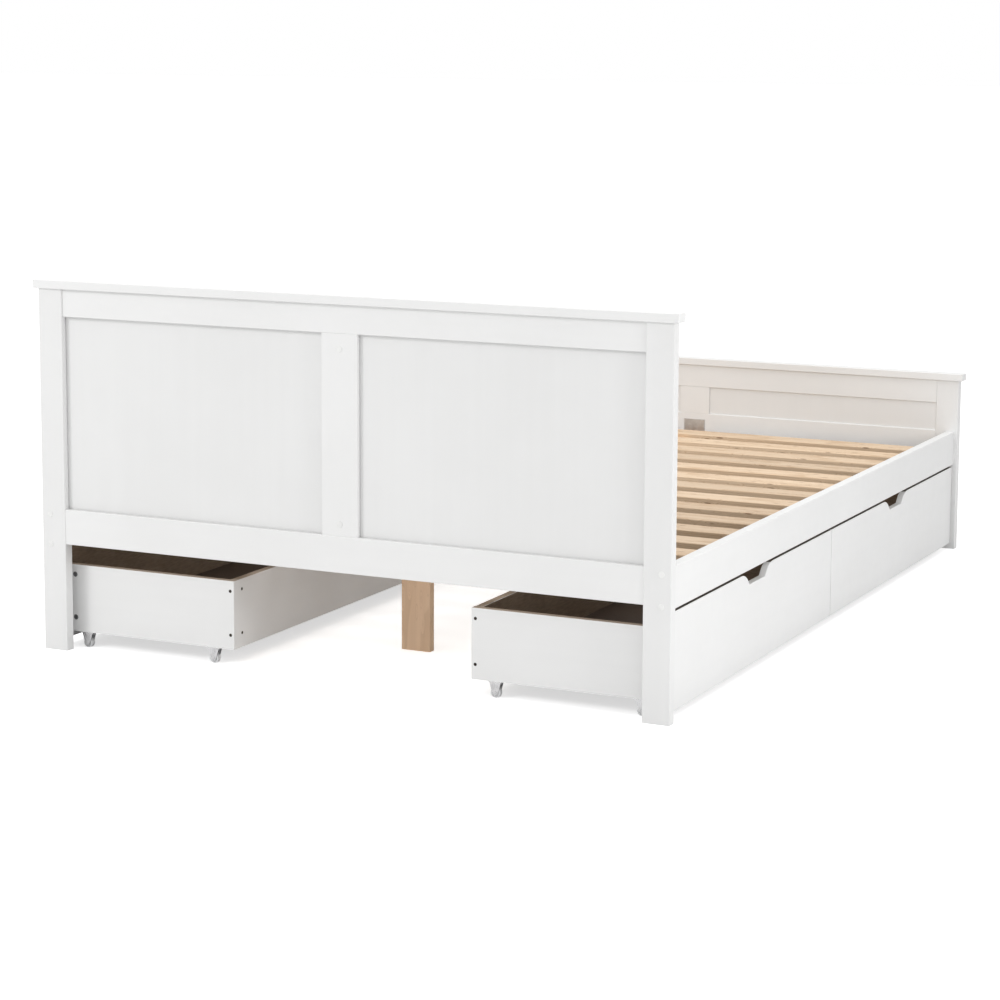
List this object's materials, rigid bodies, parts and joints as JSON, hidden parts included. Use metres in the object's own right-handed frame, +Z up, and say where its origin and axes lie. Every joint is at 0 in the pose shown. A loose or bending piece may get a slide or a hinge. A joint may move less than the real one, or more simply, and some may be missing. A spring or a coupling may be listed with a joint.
{
  "type": "wooden bed frame with underbed drawers",
  "caption": "White painted wooden double bed frame with a panelled headboard, a low footboard, slats and rolling underbed drawers with finger notches.",
  "frame": {"origin": "on the floor under the middle of the bed", "axes": "+X across the bed towards its right side seen from the headboard end, +Y from the headboard to the footboard, +Z up"},
  "size_m": [1.522, 2.076, 0.827],
  "materials": {
    "white_paint": "satin white paint on pine and board, slightly eased edges",
    "natural_pine": "planed bare pine with fine straight grain",
    "brown_board": "smooth dark brown hardboard",
    "zinc_steel": "bright zinc plated pressed steel",
    "dark_steel": "black passivated steel",
    "white_plastic": "satin white moulded plastic",
    "grey_plastic": "pale grey nylon, lightly polished tread"
  },
  "bodies": {
    "frame": {"headboard_left_post": "white_paint", "headboard_right_post": "white_paint", "headboard_top_rail": "white_paint", "headboard_bottom_rail": "white_paint", "headboard_centre_stile": "white_paint", "headboard_left_panel": "white_paint", "headboard_right_panel": "white_paint", "headboard_cap": "white_paint", "footboard_left_post": "white_paint", "footboard_right_post": "white_paint", "footboard_top_rail": "white_paint", "footboard_bottom_rail": "white_paint", "footboard_centre_stile": "white_paint", "footboard_left_panel": "white_paint", "footboard_right_panel": "white_paint", "footboard_cap": "white_paint", "left_side_rail": "white_paint", "right_side_rail": "white_paint", "slat_ledges": "natural_pine", "slats": "natural_pine", "centre_beam": "natural_pine", "centre_legs": "natural_pine", "frame_fixings": "zinc_steel", "cover_caps": "white_plastic"},
    "right_head_drawer": {"right_head_drawer_front": "white_paint", "right_head_drawer_head_side": "white_paint", "right_head_drawer_foot_side": "white_paint", "right_head_drawer_back": "white_paint", "right_head_drawer_base": "brown_board", "right_head_drawer_fittings": "dark_steel", "right_head_drawer_castor_brackets": "zinc_steel"},
    "right_head_drawer_back_wheels": {"right_head_drawer_back_wheels": "grey_plastic"},
    "right_head_drawer_front_wheels": {"right_head_drawer_front_wheels": "grey_plastic"},
    "right_foot_drawer": {"right_foot_drawer_front": "white_paint", "right_foot_drawer_head_side": "white_paint", "right_foot_drawer_foot_side": "white_paint", "right_foot_drawer_back": "white_paint", "right_foot_drawer_base": "brown_board", "right_foot_drawer_fittings": "dark_steel", "right_foot_drawer_castor_brackets": "zinc_steel"},
    "right_foot_drawer_back_wheels": {"right_foot_drawer_back_wheels": "grey_plastic"},
    "right_foot_drawer_front_wheels": {"right_foot_drawer_front_wheels": "grey_plastic"},
    "left_head_drawer": {"left_head_drawer_front": "white_paint", "left_head_drawer_head_side": "white_paint", "left_head_drawer_foot_side": "white_paint", "left_head_drawer_back": "white_paint", "left_head_drawer_base": "brown_board", "left_head_drawer_fittings": "dark_steel", "left_head_drawer_castor_brackets": "zinc_steel"},
    "left_head_drawer_back_wheels": {"left_head_drawer_back_wheels": "grey_plastic"},
    "left_head_drawer_front_wheels": {"left_head_drawer_front_wheels": "grey_plastic"},
    "left_foot_drawer": {"left_foot_drawer_front": "white_paint", "left_foot_drawer_head_side": "white_paint", "left_foot_drawer_foot_side": "white_paint", "left_foot_drawer_back": "white_paint", "left_foot_drawer_base": "brown_board", "left_foot_drawer_fittings": "dark_steel", "left_foot_drawer_castor_brackets": "zinc_steel"},
    "left_foot_drawer_back_wheels": {"left_foot_drawer_back_wheels": "grey_plastic"},
    "left_foot_drawer_front_wheels": {"left_foot_drawer_front_wheels": "grey_plastic"}
  },
  "joints": [
    {"name": "right_head_drawer_slide", "type": "slide", "parent": "frame", "child": "right_head_drawer", "axis": [1, 0, 0], "range_m": [0, 0.44]},
    {"name": "right_head_drawer_back_wheels_roll", "type": "hinge", "parent": "right_head_drawer", "child": "right_head_drawer_back_wheels", "pos_m": [0.341, -0.501, 0.011], "axis": [0, 1, 0], "continuous": true},
    {"name": "right_head_drawer_front_wheels_roll", "type": "hinge", "parent": "right_head_drawer", "child": "right_head_drawer_front_wheels", "pos_m": [0.67, -0.501, 0.011], "axis": [0, 1, 0], "continuous": true},
    {"name": "right_foot_drawer_slide", "type": "slide", "parent": "frame", "child": "right_foot_drawer", "axis": [1, 0, 0], "range_m": [0, 0.44]},
    {"name": "right_foot_drawer_back_wheels_roll", "type": "hinge", "parent": "right_foot_drawer", "child": "right_foot_drawer_back_wheels", "pos_m": [0.341, 0.501, 0.011], "axis": [0, 1, 0], "continuous": true},
    {"name": "right_foot_drawer_front_wheels_roll", "type": "hinge", "parent": "right_foot_drawer", "child": "right_foot_drawer_front_wheels", "pos_m": [0.67, 0.501, 0.011], "axis": [0, 1, 0], "continuous": true},
    {"name": "left_head_drawer_slide", "type": "slide", "parent": "frame", "child": "left_head_drawer", "axis": [-1, 0, 0], "range_m": [0, 0.44]},
    {"name": "left_head_drawer_back_wheels_roll", "type": "hinge", "parent": "left_head_drawer", "child": "left_head_drawer_back_wheels", "pos_m": [-0.341, -0.501, 0.011], "axis": [0, -1, 0], "continuous": true},
    {"name": "left_head_drawer_front_wheels_roll", "type": "hinge", "parent": "left_head_drawer", "child": "left_head_drawer_front_wheels", "pos_m": [-0.67, -0.501, 0.011], "axis": [0, -1, 0], "continuous": true},
    {"name": "left_foot_drawer_slide", "type": "slide", "parent": "frame", "child": "left_foot_drawer", "axis": [-1, 0, 0], "range_m": [0, 0.44]},
    {"name": "left_foot_drawer_back_wheels_roll", "type": "hinge", "parent": "left_foot_drawer", "child": "left_foot_drawer_back_wheels", "pos_m": [-0.341, 0.501, 0.011], "axis": [0, -1, 0], "continuous": true},
    {"name": "left_foot_drawer_front_wheels_roll", "type": "hinge", "parent": "left_foot_drawer", "child": "left_foot_drawer_front_wheels", "pos_m": [-0.67, 0.501, 0.011], "axis": [0, -1, 0], "continuous": true}
  ],
  "couplings": [
    {"joint": "right_head_drawer_back_wheels_roll", "follows": "right_head_drawer_slide", "rad_per_m": 90.909},
    {"joint": "right_head_drawer_front_wheels_roll", "follows": "right_head_drawer_slide", "rad_per_m": 90.909},
    {"joint": "right_foot_drawer_back_wheels_roll", "follows": "right_foot_drawer_slide", "rad_per_m": 90.909},
    {"joint": "right_foot_drawer_front_wheels_roll", "follows": "right_foot_drawer_slide", "rad_per_m": 90.909},
    {"joint": "left_head_drawer_back_wheels_roll", "follows": "left_head_drawer_slide", "rad_per_m": 90.909},
    {"joint": "left_head_drawer_front_wheels_roll", "follows": "left_head_drawer_slide", "rad_per_m": 90.909},
    {"joint": "left_foot_drawer_back_wheels_roll", "follows": "left_foot_drawer_slide", "rad_per_m": 90.909},
    {"joint": "left_foot_drawer_front_wheels_roll", "follows": "left_foot_drawer_slide", "rad_per_m": 90.909}
  ]
}
